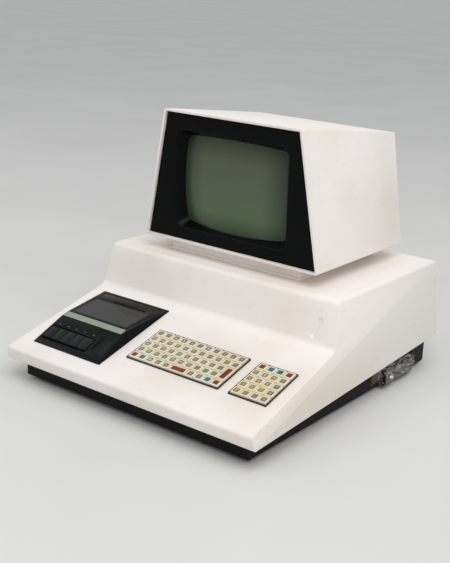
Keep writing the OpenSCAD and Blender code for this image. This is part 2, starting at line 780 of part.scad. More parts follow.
// Frame of the cassette door: Y runs back from the ridge and Z out of the door
module door_place() translate([0, ridge_v[1], ridge_h]) rotate([-door_slope, 0, 0]) children();
module on_door() on_deck() door_place() children();

bay_x = [-173, -67];
bay_w = [1, 73.6];
plate_z = -20;
piano_x = -174.4;
piano_v = [37, 58];
piano_pivot = [74, -4];
piano_swing = 8;

module cassette_surround() color(black_plastic) on_deck() difference() {
    union() {
        difference() {
            tape_form(0);
            tape_form(tape_wall);
        }
        // skirt that drops through the case
        difference() {
            translate([tape_x + tape_lap + 0.2, tape_v + tape_lap + 0.2, skirt_low])
                cube([tape_w - 2 * tape_lap - 0.4, tape_l - 2 * tape_lap - 0.4, 1 - skirt_low]);
            translate([tape_x + tape_lap + 2, tape_v + tape_lap + 2, skirt_low - 1])
                cube([tape_w - 2 * tape_lap - 4, tape_l - 2 * tape_lap - 4, 3 - skirt_low]);
        }
        // walls of the cassette bay
        intersection() {
            door_place() for (x = [bay_x[0] - 1.8, bay_x[1]])
                translate([x, bay_w[0], plate_z + 1.7]) cube([1.8, bay_w[1] - bay_w[0], 20]);
            union() {
                tape_form(0);
                translate([tape_x, tape_v, -40]) cube([tape_w, tape_l, 40.5]);
            }
        }
    }
    // mouth of the cassette bay
    door_place() translate([bay_x[0], bay_w[0], plate_z])
        cube([bay_x[1] - bay_x[0], bay_w[1] - bay_w[0], 30]);
    // bay of the five piano keys, and the finger step in front of it
    translate([piano_x - 0.8, piano_v[0] - 2.6, -20])
        cube([5 * piano_w + 2.2, piano_v[1] - piano_v[0] + 4.8, 40]);
    // shallow panel to the right of the keys, as deep as one millimetre
    difference() {
        translate([-77, 54, 0]) linear_extrude(30) polygon(round_box(20, 26, 4));
        tape_form(1);
    }
    // sockets of the door's hinge pins
    door_place() translate([tape_x, door_axis[0], door_axis[1]]) rotate([0, 90, 0])
        translate([0, 0, bay_x[0] - tape_x - 1.6]) cylinder(r = pivot_r + 0.06, h = 110);
}

// Plate under the bay, with the cheeks and the shaft of the piano keys
module cassette_chassis() color(bare_steel) {
    on_door() difference() {
        union() {
            translate([bay_x[0] - 1.8, -8, plate_z]) cube([bay_x[1] - bay_x[0] + 3.6, 83, 1.6]);
            // bearing of the capstan
            translate([capstan[0], capstan[1], flywheel_z[1] + 0.5])
                cylinder(r = 4, h = plate_z - flywheel_z[1]);
        }
        for (s = [-1, 1]) translate([tape_mid + s * hub_half, hub_w, plate_z - 1])
            cylinder(r = 3.1, h = 4);
        translate([capstan[0], capstan[1], flywheel_z[1]]) cylinder(r = 1.06, h = 40);
        translate([motor_at[0], motor_at[1], plate_z - 1]) cylinder(r = 1.5, h = 4);
    }
    on_deck() {
        for (x = [piano_x - 3, piano_x + 5 * piano_w + 1.8])
            translate([x, 0, 0]) rotate([90, 0, 90]) linear_extrude(1.6) polygon([
                [68, -9], [95, -9], [95, -6.2], [84, -6.2], [80, 0], [68, 0]
            ]);
        translate([piano_x - 3, piano_pivot[0], piano_pivot[1]]) rotate([0, 90, 0])
            cylinder(r = pivot_r, h = 5 * piano_w + 6.4);
    }
}

strip_x = [-176, -65.4];

module deck_trim_strip() color("#b9c2ba") on_deck()
    translate([strip_x[0], ridge_v[0] + 0.6, ridge_h])
        cube([strip_x[1] - strip_x[0], ridge_v[1] - ridge_v[0] - 1.2, 0.8]);

pivot_r = 1.3;
door_axis = [72.2, -1.5];
door_w = [1.6, 72.6];
door_t = 3;
window_x = [-170, -72];
window_w = [5, 52];

module cassette_door() color(black_plastic) on_door() {
    difference() {
        translate([bay_x[0] + 0.4, door_w[0], -door_t])
            cube([bay_x[1] - bay_x[0] - 0.8, door_w[1] - door_w[0], door_t]);
        translate([window_x[0], window_w[0], -1.2])
            cube([window_x[1] - window_x[0], window_w[1] - window_w[0], 3]);
        translate([window_x[0] + 8, window_w[0] + 6, -5])
            cube([window_x[1] - window_x[0] - 16, window_w[1] - window_w[0] - 12, 10]);
        // slot behind the window
        translate([-143, 55.5, -1.4]) cube([61, 2.6, 3]);
    }
    // rails that hold the cassette
    for (x = [bay_x[0] + 0.4, bay_x[1] - 1.6]) {
        translate([x, 12, -16]) cube([1.2, 50, 13.2]);
    }
    for (x = [bay_x[0] + 0.4, bay_x[1] - 4.4])
        translate([x, 12, -16]) cube([4, 50, 1.2]);
    // hinge pins
    for (x = [bay_x[0] - 1.4, bay_x[1] - 1.6])
        translate([x, door_axis[0], door_axis[1]]) rotate([0, 90, 0])
            cylinder(r = pivot_r, h = 3);
}

module door_window() color("#26312c") on_door()
    translate([window_x[0] + 0.15, window_w[0] + 0.15, -1.2])
        cube([window_x[1] - window_x[0] - 0.3, window_w[1] - window_w[0] - 0.3, 1.4]);

// Piano key: cap, arm and pivot bore
module piano_key(i) color("#1f1f22") on_deck() difference() {
    translate([piano_x + (i + 0.5) * piano_w, 0, 0]) along_x(piano_w - 0.6) polygon(rounded([
        [37, -3, 0], [58.4, -3, 0], [61, -6.6, 0], [76.6, -6.6, 2], [76.6, -1.2, 2],
        [60, 0.6, 0], [58.4, 8.6, 1.2], [37.6, 5.4, 1.6]
    ], 3));
    translate([piano_x + i * piano_w - 1, piano_pivot[0], piano_pivot[1]]) rotate([0, 90, 0])
        cylinder(r = pivot_r + 0.07, h = piano_w + 2);
}

module record_key() piano_key(0);
module rewind_key() piano_key(1);
module forward_key() piano_key(2);
module play_key() piano_key(3);
module stop_key() piano_key(4);

hub_half = 21.25;
hub_w = 39;

// Reel spindle with three driving ribs
module spindle(s) color("#d8d8d2") on_door() translate([tape_mid + s * hub_half, hub_w, 0]) {
    translate([0, 0, plate_z - 3]) cylinder(r = 3, h = 6);
    translate([0, 0, plate_z + 1.8]) cylinder(r = 9, h = 1.6);
    translate([0, 0, plate_z + 3]) cylinder(r = 2.6, h = 4.6);
    translate([0, 0, plate_z + 7.6]) cylinder(r1 = 2.6, r2 = 1, h = 1.6);
    for (a = [0, 120, 240]) rotate([0, 0, a]) translate([0, -0.5, plate_z + 3]) cube([4.2, 1, 4]);
    // washer that keeps it in the plate
    translate([0, 0, plate_z - 3]) cylinder(r = 5, h = 2);
}

module supply_spindle() spindle(-1);
module take_up_spindle() spindle(1);

capstan = [-100.6, 6.6];
flywheel_z = [-46, -40];
flywheel_r = 19;

module capstan_flywheel() color(bare_steel) on_door() translate([capstan[0], capstan[1], 0]) {
    difference() {
        translate([0, 0, flywheel_z[0]]) cylinder(r = flywheel_r, h = flywheel_z[1] - flywheel_z[0]);
        translate([0, 0, flywheel_z[0] - 1]) difference() {
            cylinder(r = flywheel_r - 3, h = 3);
            cylinder(r = 5, h = 3);
        }
    }
    translate([0, 0, flywheel_z[0]]) cylinder(r = 1, h = 37);
}

module tape_head() color("#c8c8c8") on_door() {
    translate([tape_mid - 7, 2.2, plate_z + 1.6]) cube([14, 6.6, 9]);
    translate([tape_mid - 12, 1.6, plate_z + 1.6]) cube([24, 8, 1.2]);
}

motor_at = [-154, 56];
motor_r = 14;
pulley_r = 4;

module drive_motor() color(bare_steel) on_door() translate([motor_at[0], motor_at[1], 0]) {
    translate([0, 0, flywheel_z[1] + 1]) cylinder(r = motor_r, h = plate_z - flywheel_z[1] - 1);
    translate([0, 0, flywheel_z[0] - 1]) cylinder(r = 1, h = 9);
    translate([0, 0, flywheel_z[0]]) cylinder(r = pulley_r, h = 5);
}

// Outline of a belt that runs round two circles
function belt(p, rp, q, rq) =
    let (b = atan2(q.y - p.y, q.x - p.x), a = acos((rp - rq) / norm(q - p)), n = 24)
    concat(
        [for (i = [0:n]) p + rp * [cos(b + a + (360 - 2 * a) * i / n), sin(b + a + (360 - 2 * a) * i / n)]],
        [for (i = [0:n]) q + rq * [cos(b - a + 2 * a * i / n), sin(b - a + 2 * a * i / n)]]);

module drive_belt() color("#141414") on_door() translate([0, 0, flywheel_z[0] + 1])
    linear_extrude(3) difference() {
        polygon(belt(capstan, flywheel_r + 1.6, motor_at, pulley_r + 1.6));
        polygon(belt(capstan, flywheel_r + 0.25, motor_at, pulley_r + 0.25));
    }

base_tray();
feet();
main_board();
logic_chips();
mains_transformer();
smoothing_capacitor();
regulator_heatsink();
fuse_holder();
mains_gland();
power_switch_body();
base_hinge_leaves();
port_wrap();
upper_case();
monitor_plinth();
monitor_housing();
monitor_rear_cover();
cover_screws();
screen_bezel();
picture_tube();
deflection_yoke();
tube_neck_board();
monitor_board();
flyback_transformer();
main_key_frame();
number_key_frame();
keyboard_board();
cassette_surround();
cassette_chassis();
deck_trim_strip();
tape_head();
drive_motor();
drive_belt();
lid_hinge_leaves();
prop_rod();
cassette_door();
door_window();
record_key();
rewind_key();
forward_key();
play_key();
stop_key();
supply_spindle();
take_up_spindle();
capstan_flywheel();
power_rocker();
brightness_knob();
letter_row_1();
letter_row_2();
letter_row_3();
letter_row_4();
letter_row_5();
space_key();
return_key();
number_row_1();
number_row_2();
number_row_3();
number_row_4();
number_row_5();
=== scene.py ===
# %% [markdown]
# All-in-one home computer of the late 1970s, dressed for its portrait. The steel case, the tray
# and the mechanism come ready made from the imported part. This lesson adds what a photograph shows
# on top of them: paint, moulded plastic, glass, keys with legends, and crumpled foil.
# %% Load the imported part
import bpy
import bmesh
import json
from math import cos, radians, sin, sqrt, tan
from mathutils import Matrix, Vector, noise


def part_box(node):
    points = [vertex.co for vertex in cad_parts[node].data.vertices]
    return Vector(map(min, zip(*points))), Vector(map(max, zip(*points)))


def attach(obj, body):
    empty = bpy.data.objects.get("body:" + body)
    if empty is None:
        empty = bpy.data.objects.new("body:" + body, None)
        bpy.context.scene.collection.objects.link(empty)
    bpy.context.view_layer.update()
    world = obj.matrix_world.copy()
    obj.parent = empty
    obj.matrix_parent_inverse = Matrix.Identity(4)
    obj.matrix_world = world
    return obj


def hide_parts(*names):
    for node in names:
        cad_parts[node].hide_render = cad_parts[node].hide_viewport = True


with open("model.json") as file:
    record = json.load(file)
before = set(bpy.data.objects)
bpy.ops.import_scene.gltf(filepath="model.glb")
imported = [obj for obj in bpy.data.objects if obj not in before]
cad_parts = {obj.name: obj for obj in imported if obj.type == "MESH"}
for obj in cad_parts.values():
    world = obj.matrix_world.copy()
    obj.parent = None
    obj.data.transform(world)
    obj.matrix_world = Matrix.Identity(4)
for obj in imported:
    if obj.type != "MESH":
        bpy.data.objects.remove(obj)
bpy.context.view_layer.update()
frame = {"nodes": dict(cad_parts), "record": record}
scene = bpy.context.scene
mm, micron = 0.001, 0.000001

# %% [markdown]
# The camera comes first, because every later choice is judged through it. Its place and its turn
# were solved from the straight edges of the photograph: lip, riser, monitor and key grid. The lens
# follows from the same solution, for a picture whose long side is the sensor's width. A camera
# starts by looking straight down: this one is rolled a little, tilted up, and then turned.
# %% Camera
eye = Vector((0.81208, -1.09699, 0.56529))
heading, tilt, roll = 37.0352, 72.4818, 2.547
sensor_width, focal_pixels, picture_height = 36, 1026.71, 563
camera_data = bpy.data.cameras.new("portrait_camera")
camera_data.sensor_width = sensor_width
camera_data.lens = focal_pixels * sensor_width / picture_height
camera = bpy.data.objects.new("portrait_camera", camera_data)
turn = (Matrix.Rotation(radians(heading), 4, "Z") @ Matrix.Rotation(radians(tilt), 4, "X")
        @ Matrix.Rotation(radians(roll), 4, "Z"))
camera.matrix_world = Matrix.Translation(eye) @ turn
scene.collection.objects.link(camera)
scene.camera = camera
print("camera is", round(eye.length, 2), "m from the origin")

# %% [markdown]
# The photograph's light is broad and comes from above, on the camera's side: the deck is brightest,
# upright and level faces are a shade greyer, and no hard shadow shows. One large soft lamp high on
# the camera's side does that, a weak one comes from the left, and a pale world fills the shadows.
# What the camera sees past the machine, or sees mirrored or through glass, is a plain wall colour
# instead, so the backdrop can be chosen without changing the light. The Standard view shows colours
# as they are written.
# %% Light and floor
scene.view_settings.view_transform = "Standard"
lit_point = Vector((0, 0, 0.15))
sky_colour, sky_strength = (0.93, 0.96, 1.0, 1), 0.62
wall_colour = (0.80, 0.80, 0.79, 1)
floor_reach = 60


def soft_lamp(name, place, size, watts):
    """Square area lamp at a place, turned to the machine."""
    data = bpy.data.lights.new(name, "AREA")
    data.size, data.energy = size, watts
    lamp = bpy.data.objects.new(name, data)
    aim = (Vector(place) - lit_point).to_track_quat("Z", "Y").to_matrix().to_4x4()
    lamp.matrix_world = Matrix.Translation(place) @ aim
    scene.collection.objects.link(lamp)


soft_lamp("sky_lamp", place=(1.1, -0.75, 2.35), size=2.2, watts=42)
soft_lamp("left_lamp", place=(-1.6, -0.9, 1.4), size=1.8, watts=4)

world = bpy.data.worlds.new("pale_room")
scene.world = world
world.use_nodes = True
nodes, links = world.node_tree.nodes, world.node_tree.links
sky = nodes["Background"]
sky.inputs["Color"].default_value = sky_colour
sky.inputs["Strength"].default_value = sky_strength
wall = nodes.new("ShaderNodeBackground")
wall.inputs["Color"].default_value = wall_colour
path = nodes.new("ShaderNodeLightPath")
choose = nodes.new("ShaderNodeMixShader")
seen = path.outputs["Is Camera Ray"]
for ray in ("Is Glossy Ray", "Is Transmission Ray"):
    either = nodes.new("ShaderNodeMath")
    either.operation = "MAXIMUM"
    links.new(seen, either.inputs[0])
    links.new(path.outputs[ray], either.inputs[1])
    seen = either.outputs[0]
for number, output in enumerate((seen, sky.outputs[0], wall.outputs[0])):
    links.new(output, choose.inputs[number])
links.new(choose.outputs[0], nodes["World Output"].inputs[0])

bm = bmesh.new()
bmesh.ops.create_grid(bm, x_segments=1, y_segments=1, size=floor_reach)
floor_mesh = bpy.data.meshes.new("floor")
bm.to_mesh(floor_mesh)
bm.free()
floor = bpy.data.objects.new("floor", floor_mesh)
scene.collection.objects.link(floor)
print("lamps, world and a floor of", floor_reach, "m each way")

# %% [markdown]
# A finish is one Principled shader plus two small habits: the colour drifts a little from place to
# place, and a fine bump breaks the light. Both read Object coordinates, which here are metres in
# the machine's own frame, so a pattern has a real size and stays on the piece. Painted pictures
# could do the same, but noise needs no file and shows no seam.
# %% Helpers for finishes
colour_below, colour_above, mixed = 6, 7, 2  # sockets of a Mix node that mixes colours
finish_of = {}


def hexed(code):
    """Colour as Blender stores it, from the usual six hexadecimal digits."""
    parts = [int(code[i:i + 2], 16) / 255 for i in (0, 2, 4)]
    return [c / 12.92 if c <= 0.04045 else ((c + 0.055) / 1.055) ** 2.4 for c in parts] + [1]


def new_finish(name, code, roughness, **sockets):
    """Material whose shader has a plain colour, a roughness and any other sockets by name."""
    finish = finish_of[name] = bpy.data.materials.new(name)
    finish.use_nodes = True
    shader = finish.node_tree.nodes["Principled BSDF"]
    shader.inputs["Base Color"].default_value = hexed(code)
    shader.inputs["Roughness"].default_value = roughness
    for socket, value in sockets.items():
        shader.inputs[socket.replace("_", " ")].default_value = value
    return finish


def add(finish, kind, links=(), **settings):
    """Adds a node, sets it up by name, and links (output, input) pairs into it."""
    node = finish.node_tree.nodes.new("ShaderNode" + kind)
    for key, value in settings.items():
        if hasattr(node, key):
            setattr(node, key, value)
        else:
            node.inputs[key.replace("_", " ")].default_value = value
    for output, name in links:
        finish.node_tree.links.new(output, node.inputs[name])
    return node


def place_of(finish):
    """Object coordinates, one node for each finish."""
    found = finish.node_tree.nodes.get("Texture Coordinate")
    return (found or add(finish, "TexCoord")).outputs["Object"]


def cloud(finish, per_metre, detail, stretch=(1, 1, 1)):
    """Noise of so many lumps in a metre, from 0 to 1."""
    mapping = add(finish, "Mapping", [(place_of(finish), "Vector")], Scale=stretch)
    made = add(finish, "TexNoise", [(mapping.outputs[0], "Vector")],
               Scale=per_metre, Detail=detail)
    return made.outputs["Fac"]


def ramp(finish, value, low, high, least=0.0, most=1.0):
    """Spreads what a value does between low and high over least to most."""
    return add(finish, "MapRange", [(value, "Value")], From_Min=low, From_Max=high,
               To_Min=least, To_Max=most).outputs[0]


def product(finish, first, second):
    """One value times another."""
    return add(finish, "Math", [(first, 0), (second, 1)], operation="MULTIPLY").outputs[0]


def blend_in(finish, amount, code):
    """Mixes a colour over what already feeds Base Color."""
    base = finish.node_tree.nodes["Principled BSDF"].inputs["Base Color"]
    mix = add(finish, "Mix", data_type="RGBA")
    mix.inputs[colour_below].default_value = base.default_value
    mix.inputs[colour_above].default_value = hexed(code)
    if base.links:
        finish.node_tree.links.new(base.links[0].from_socket, mix.inputs[colour_below])
    finish.node_tree.links.new(amount, mix.inputs["Factor"])
    finish.node_tree.links.new(mix.outputs[mixed], base)


def vary_gloss(finish, value, low, high):
    """Lets the roughness drift between two values."""
    shader = finish.node_tree.nodes["Principled BSDF"]
    drift = ramp(finish, value, 0.3, 0.7, low, high)
    finish.node_tree.links.new(drift, shader.inputs["Roughness"])


def emboss(finish, height, microns, strength):
    """Bump of a depth in microns."""
    shader = finish.node_tree.nodes["Principled BSDF"]
    bump = add(finish, "Bump", [(height, "Height")], Strength=strength,
               Distance=microns * micron)
    finish.node_tree.links.new(bump.outputs[0], shader.inputs["Normal"])


print("helpers ready")

# %% [markdown]
# Case paint is baked enamel over folded steel: warm white, faintly pebbled, a little yellower in
# patches, with small dark specks and a worn place at the lip's right corner. Each of these is one
# noise that is cut off high, so that only its peaks show, and two fades, along X and along Z, keep
# the worn place to its corner.
# %% Paint
case_paint = new_finish("case_paint", "efe8e3", 0.42, Specular_IOR_Level=0.45)
yellowing = ramp(case_paint, cloud(case_paint, 7, 4), 0.45, 0.75)
blend_in(case_paint, yellowing, "e6dccf")
specks = ramp(case_paint, cloud(case_paint, 330, 1), 0.79, 0.82, most=0.4)
blend_in(case_paint, specks, "7d7467")
dust = ramp(case_paint, cloud(case_paint, 60, 6, (1, 1, 2.5)), 0.62, 0.78, most=0.16)
blend_in(case_paint, dust, "a89c8a")
split = add(case_paint, "SeparateXYZ", [(place_of(case_paint), 0)])
at_right = ramp(case_paint, split.outputs["X"], 170 * mm, 212 * mm)
at_lip = ramp(case_paint, split.outputs["Z"], 62 * mm, 45 * mm)
chips = ramp(case_paint, cloud(case_paint, 240, 5), 0.66, 0.72, most=0.7)
worn_corner = product(case_paint, product(case_paint, at_right, at_lip), chips)
blend_in(case_paint, worn_corner, "8b8377")
vary_gloss(case_paint, cloud(case_paint, 25, 4), 0.36, 0.5)
emboss(case_paint, cloud(case_paint, 900, 2), 40, 0.5)

tray_paint = new_finish("tray_paint", "0b0c0c", 0.5, Specular_IOR_Level=0.12)
scuffs = ramp(tray_paint, cloud(tray_paint, 40, 5), 0.5, 0.8, most=0.4)
blend_in(tray_paint, scuffs, "1c1b1a")
emboss(tray_paint, cloud(tray_paint, 700, 2), 60, 0.6)

floor_paint = new_finish("floor_paint", "d9d8d4", 0.9)
blend_in(floor_paint, ramp(floor_paint, cloud(floor_paint, 3, 3), 0.3, 0.7), "d3d2ce")
floor.data.materials.append(floor_paint)
print("mixed", ", ".join(finish_of))

# %% [markdown]
# Plastics: the fascia is a smooth black that mirrors little, the cassette deck is a satin black
# with a fine mould grain, and the keys are cream with coloured inlays. The door's window is smoked
# acrylic, nearly black and very smooth. They differ in numbers and not in kind, so one helper and
# a list make them all. The blacks of the fascia and the deck mirror less than the usual plastic,
# because dust dulls them.
# %% Plastics
def moulded(name, code, drift, roughness, grain, mirror=0.5):
    """Moulded plastic of one colour with a second in soft patches, and a grain in microns."""
    finish = new_finish(name, code, roughness, Specular_IOR_Level=mirror)
    patches = ramp(finish, cloud(finish, 30, 4), 0.4, 0.75)
    blend_in(finish, patches, drift)
    vary_gloss(finish, cloud(finish, 90, 5), roughness * 0.8, roughness * 1.25)
    pores = cloud(finish, 1500, 2)
    emboss(finish, pores, grain, 0.5)
    return finish


# Name, colour, second colour, roughness, grain and, where it isn't the usual one, mirror.
for recipe in (
        ("fascia_black", "060807", "090b0a", 0.25, 10, 0.07),
        ("deck_black", "080b0a", "0e1110", 0.3, 30, 0.1),
        # Painted sheen: the piano keys' black is greyer for the light that their fronts mirror.
        ("painted_sheen_black", "101314", "181b1c", 0.34, 30, 0.13),
        ("smoked_window", "0a0e0d", "0f1413", 0.05, 2, 0.3),
        ("fitting_black", "17181a", "222325", 0.4, 30),
        ("foot_rubber", "131313", "232120", 0.8, 100),
        ("belt_rubber", "151515", "1f1e1d", 0.7, 50),
        ("chip_black", "1b1b1d", "26262a", 0.45, 30),
        ("frame_brown", "2a201a", "382a21", 0.5, 40),
        ("spindle_white", "d9d8d0", "cfcdc2", 0.4, 20),
        ("flyback_red", "7c2a20", "612118", 0.4, 30),
        ("can_blue", "4c6c86", "3f5c74", 0.3, 20),
        ("key_cream", "e4dabf", "dccfb0", 0.38, 20),
        ("inlay_grey", "7a7764", "6f6c58", 0.4, 20),
        ("inlay_red", "7f2a18", "702314", 0.4, 20),
        ("inlay_blue", "1c6f86", "186478", 0.4, 20),
        ("inlay_gold", "96835a", "87754d", 0.4, 20),
        ("legend_ink", "efe9d6", "e8e1cb", 0.45, 10),
        ("sign_ink", "5d625c", "50544f", 0.5, 10)):
    moulded(*recipe)
print(len(finish_of), "finishes so far")

# %% [markdown]
# Metals and circuit boards: bare parts are zinc-plated steel, the heat sink is aluminium, and the
# foil is a dull grey with darker streaks. One drawn-out noise drives both colour and gloss, as
# rolling and handling do on real metal. A board's tracks are another, cut off hard.
# %% Metals and boards
def metal(name, code, drift, roughness):
    """Metal with faint streaks of a second colour."""
    finish = new_finish(name, code, roughness, Metallic=1.0)
    streaks = cloud(finish, 120, 4, (1, 1, 6))
    blend_in(finish, ramp(finish, streaks, 0.4, 0.7), drift)
    vary_gloss(finish, streaks, roughness * 0.8, roughness * 1.3)


# Name, colour, second colour and roughness.
for recipe in (
        ("bare_steel", "b4b7b8", "9a9c9a", 0.32),
        ("sink_aluminium", "c4c7c9", "aeb1b3", 0.3),
        ("core_iron", "7c6a55", "5f5142", 0.5),
        ("copper_winding", "a8683a", "8c522a", 0.35),
        ("trim_silver", "9fae9e", "93a293", 0.32),
        ("foil_grey", "8f8d8b", "55524f", 0.36)):
    metal(*recipe)

moulded("paper_tape", "6b5440", "41332a", 0.7, 80)
board_green = moulded("board_green", "3b6a43", "2d5537", 0.4, 60)
tracks = ramp(board_green, cloud(board_green, 260, 2, (1, 6, 1)), 0.55, 0.58, most=0.5)
blend_in(board_green, tracks, "7d9a55")
print(len(finish_of), "finishes so far")

# %% [markdown]
# The picture tube's face is a grey-green phosphor behind thick glass. A lit phosphor would need a
# glow, but this one is off: the glass only looks browner above. It is darker towards its edges, a
# painted shade for the shadow that the fascia's throat casts on it. Distances from the screen's
# middle give that painted shade.
# %% Tube glass, and every solid gets its finish
screen_height = 268.5 * mm  # of the screen's middle above the floor
tube_glass = new_finish("tube_glass", "54664a", 0.22, Specular_IOR_Level=0.25)
split = add(tube_glass, "SeparateXYZ", [(place_of(tube_glass), 0)])
blend_in(tube_glass, ramp(tube_glass, split.outputs["Z"], 230 * mm, 340 * mm), "515343")
upwards = add(tube_glass, "Math", [(split.outputs["Z"], 0)], operation="SUBTRACT")
upwards.inputs[1].default_value = screen_height
# Painted shade: the glass is darkened towards its edges, where the throat shades it.
for offset, shade_start, shade_end in (
        (split.outputs["X"], 50 * mm, 92 * mm), (upwards.outputs[0], 36 * mm, 72 * mm)):
    away = add(tube_glass, "Math", [(offset, 0)], operation="ABSOLUTE").outputs[0]
    blend_in(tube_glass, ramp(tube_glass, away, shade_start, shade_end, most=0.8), "22271f")
emboss(tube_glass, cloud(tube_glass, 30, 2), 20, 0.2)

slot_of = {part["node"]: part["material_slot"] for part in frame["record"]["subparts"]}
for name, node in frame["nodes"].items():
    node.data.materials.clear()
    node.data.materials.append(finish_of[slot_of[name]])
    node.data.polygons.foreach_set("use_smooth", [True] * len(node.data.polygons))
print(len(finish_of), "finishes for", len(frame["nodes"]), "nodes and the pieces to come")

# %% [markdown]
# Two sloping surfaces carry most pieces, so each gets a frame of its own: the deck's, in which X
# runs across, Y up the slope and Z out of the deck, and the screen's, with Z up the monitor's face
# and Y into it. A piece is drawn flat in such a frame and then moved there, mesh and all.
# %% Frames of the deck and the screen
def sloping(place, degrees):
    """Frame at a place in millimetres, tipped back by an angle."""
    origin = [length * mm for length in place]
    return Matrix.Translation(origin) @ Matrix.Rotation(radians(degrees), 4, "X")


deck = sloping((0, -231.3252, 47.5), 15.8781)
face = sloping((0, -20.3252, 180), 1.8575)
print("the deck starts", round(deck.translation.z / mm, 1), "mm above the floor")

# %% [markdown]
# Every piece is made the same way: shaped as a bmesh, turned into a mesh, given its finishes,
# shaded smooth with its sharp edges marked, and tied to the body that it rides on. Some replace a
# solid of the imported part. Those that only need softer edges start as a copy of that solid, whose
# loose triangles are first welded into one skin with whole flat faces.
# %% Helpers for pieces
def show(bm, name, body, finishes, stands_for=(), sharp=40, closed=True):
    """Makes a bmesh a piece that rides on a body, with smooth faces and sharp edges."""
    if closed:
        bmesh.ops.recalc_face_normals(bm, faces=bm.faces)
    mesh = bpy.data.meshes.new(name)
    bm.to_mesh(mesh)
    bm.free()
    for finish in finishes:
        mesh.materials.append(finish_of[finish])
    mesh.polygons.foreach_set("use_smooth", [True] * len(mesh.polygons))
    mesh.set_sharp_from_angle(angle=radians(sharp))
    piece = bpy.data.objects.new(name, mesh)
    scene.collection.objects.link(piece)
    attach(piece, body)
    if stands_for:
        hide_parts(*stands_for)
    print(name, len(mesh.polygons), "faces")


def merged_copy(node):
    """Copy of a CAD node's mesh as one skin, with its flat faces whole."""
    bm = bmesh.new()
    bm.from_mesh(frame["nodes"][node].data)
    bmesh.ops.remove_doubles(bm, verts=bm.verts, dist=2 * micron)
    bmesh.ops.dissolve_limit(bm, angle_limit=radians(0.4), verts=bm.verts, edges=bm.edges)
    return bm


def eased_copy(node, width, where=lambda edge: True):
    """Copy of a CAD node with the edges rounded at which two faces meet sharply."""
    bm = merged_copy(node)
    edges = [e for e in bm.edges if len(e.link_faces) == 2 and where(e)
             and e.calc_face_angle(0) > radians(40)]
    bmesh.ops.bevel(bm, geom=edges, offset=width, segments=2, affect="EDGES", profile=0.5,
                    material=-1, clamp_overlap=True)
    return bm


print("piece helpers ready")

# %% [markdown]
# Folded sheet steel never has a knife edge: the press leaves a radius of about the sheet's own
# thickness, and paint rounds it a little more. Something has knocked a dent into the riser near
# its right end, as the photograph shows. A flat face has no points to move there, so that part of
# it is first cut into a fine grid, and the grid's points then sink along the line of the dent.
# %% Case, housing and plinth
dent_top, dent_foot = Vector((0.1705, 0, 0.131)), Vector((0.164, 0, 0.112))
dent_depth, dent_reach, grid_steps = 2 * mm, 5.5 * mm, 24


def press_dent(bm, start, end):
    """Presses a groove into the riser from one place to another."""
    steep = [f for f in bm.faces if f.normal.y < -0.8 and f.calc_center_median().y < 0]
    riser = max(steep, key=lambda f: f.calc_center_median().z * f.calc_area())
    middle, inwards = riser.calc_center_median(), -riser.normal
    for place in (start, end):
        place.y = middle.y - (place.z - middle.z) * inwards.z / inwards.y
    patch = [riser]
    for axis in (0, 2):
        low = min(start[axis], end[axis]) - dent_reach
        high = max(start[axis], end[axis]) + dent_reach
        for step in range(grid_steps + 1):
            centre, across = Vector(), Vector()
            centre[axis], across[axis] = low + (high - low) * step / grid_steps, 1
            parts = dict.fromkeys(g for f in patch for g in (*f.verts, *f.edges))
            cut = bmesh.ops.bisect_plane(bm, geom=[*patch, *parts], plane_co=centre,
                                         plane_no=across)
            patch = [g for g in cut["geom"] if isinstance(g, bmesh.types.BMFace)]
    groove = end - start
    for vert in {v for f in patch for v in f.verts}:
        share = min(1, max(0, (vert.co - start).dot(groove) / groove.length_squared))
        away = vert.co - start - groove * share
        away -= inwards * away.dot(inwards)
        if away.length < dent_reach:
            vert.co += inwards * dent_depth * (1 - (away.length / dent_reach) ** 2) ** 2


for node, name, width in (
        ("monitor_plinth", "folded_plinth", 0.6 * mm),
        ("monitor_rear_cover", "slotted_rear_cover", 0.3 * mm),
        ("monitor_housing", "folded_housing", 0.5 * mm),
        ("upper_case", "folded_case", 0.5 * mm)):
    bm = eased_copy(node, width)
    if node == "upper_case":
        press_dent(bm, dent_top, dent_foot)
    show(bm, name, "lid", ["case_paint"], [node])

# %% [markdown]
# The fascia and the picture tube are skins between closed outlines. Each outline is a rectangle or
# a trapezoid with arcs for corners, all have the same count of points, and so quads join one to
# the next. A loft by hand like this keeps the corners round all the way from plate to throat,
# where cutting one solid out of another would leave long thin faces.
# %% Outlines
arc_steps, side_steps = 8, 10
screen_z = 89 * mm
dome_radius, glass_depth = 380 * mm, 5.8 * mm


def ring(corners, radius, depth):
    """Points of an outline in the face frame, with each corner as an arc of a radius."""
    arcs = []
    for i, corner in enumerate(corners):
        back_arm = (corners[i - 1] - corner).normalized()
        next_arm = (corners[(i + 1) % len(corners)] - corner).normalized()
        half = back_arm.angle(next_arm) / 2
        middle = corner + (back_arm + next_arm).normalized() * (radius / sin(half))
        start = corner + back_arm * (radius / tan(half)) - middle
        end = corner + next_arm * (radius / tan(half)) - middle
        sweep = start.angle(end)
        turns = [sweep * step / arc_steps for step in range(arc_steps + 1)]
        arcs.append([middle + (start * sin(sweep - t) + end * sin(t)) / sin(sweep)
                     for t in turns])
    flat = []
    for arc, following in zip(arcs, arcs[1:] + arcs[:1]):
        side = [arc[-1].lerp(following[0], step / side_steps) for step in range(1, side_steps)]
        flat += arc + side
    return [Vector((point.x, depth, point.y)) for point in flat]


def screen_ring(width, height, radius, depth):
    """Outline of a round-cornered rectangle about the screen's middle, from millimetres."""
    w, h = width / 2 * mm, height / 2 * mm
    corners = [Vector((x, screen_z + z)) for x, z in ((-w, -h), (w, -h), (w, h), (-w, h))]
    return ring(corners, radius * mm, depth * mm)


def dome(point):
    """Depth of the glass behind a point: a sphere that comes furthest forward in the middle."""
    across = sqrt(point.x ** 2 + (point.z - screen_z) ** 2)
    return glass_depth + dome_radius - sqrt(dome_radius ** 2 - across ** 2)


